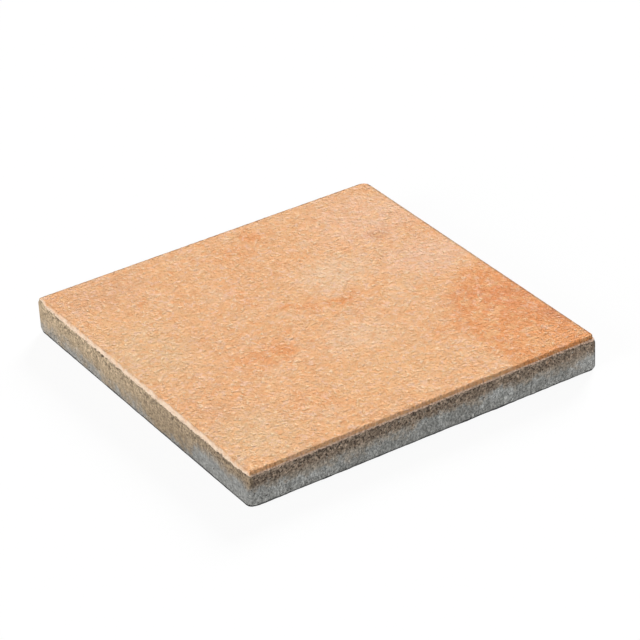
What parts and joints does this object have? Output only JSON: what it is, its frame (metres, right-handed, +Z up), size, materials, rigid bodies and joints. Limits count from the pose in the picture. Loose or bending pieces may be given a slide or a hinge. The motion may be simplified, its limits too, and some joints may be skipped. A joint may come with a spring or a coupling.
{
  "type": "concrete patio slab",
  "caption": "Square pressed-concrete patio slab with a finely textured walking face, a narrow bevelled edge and upright sides, laid flat as outdoor paving.",
  "frame": {"origin": "centre of the flat underside, at the middle of the slab's plan", "axes": "+Z up through the walking face; +X and +Y along the two plan edges; the picture looks at the -X side (left) and the -Y side (right)"},
  "size_m": [0.4, 0.4, 0.04],
  "materials": {
    "concrete": "pressed concrete: fine rippled peach face over a brown and grey body"
  },
  "bodies": {
    "root": {"slab": "concrete"}
  },
  "joints": []
}
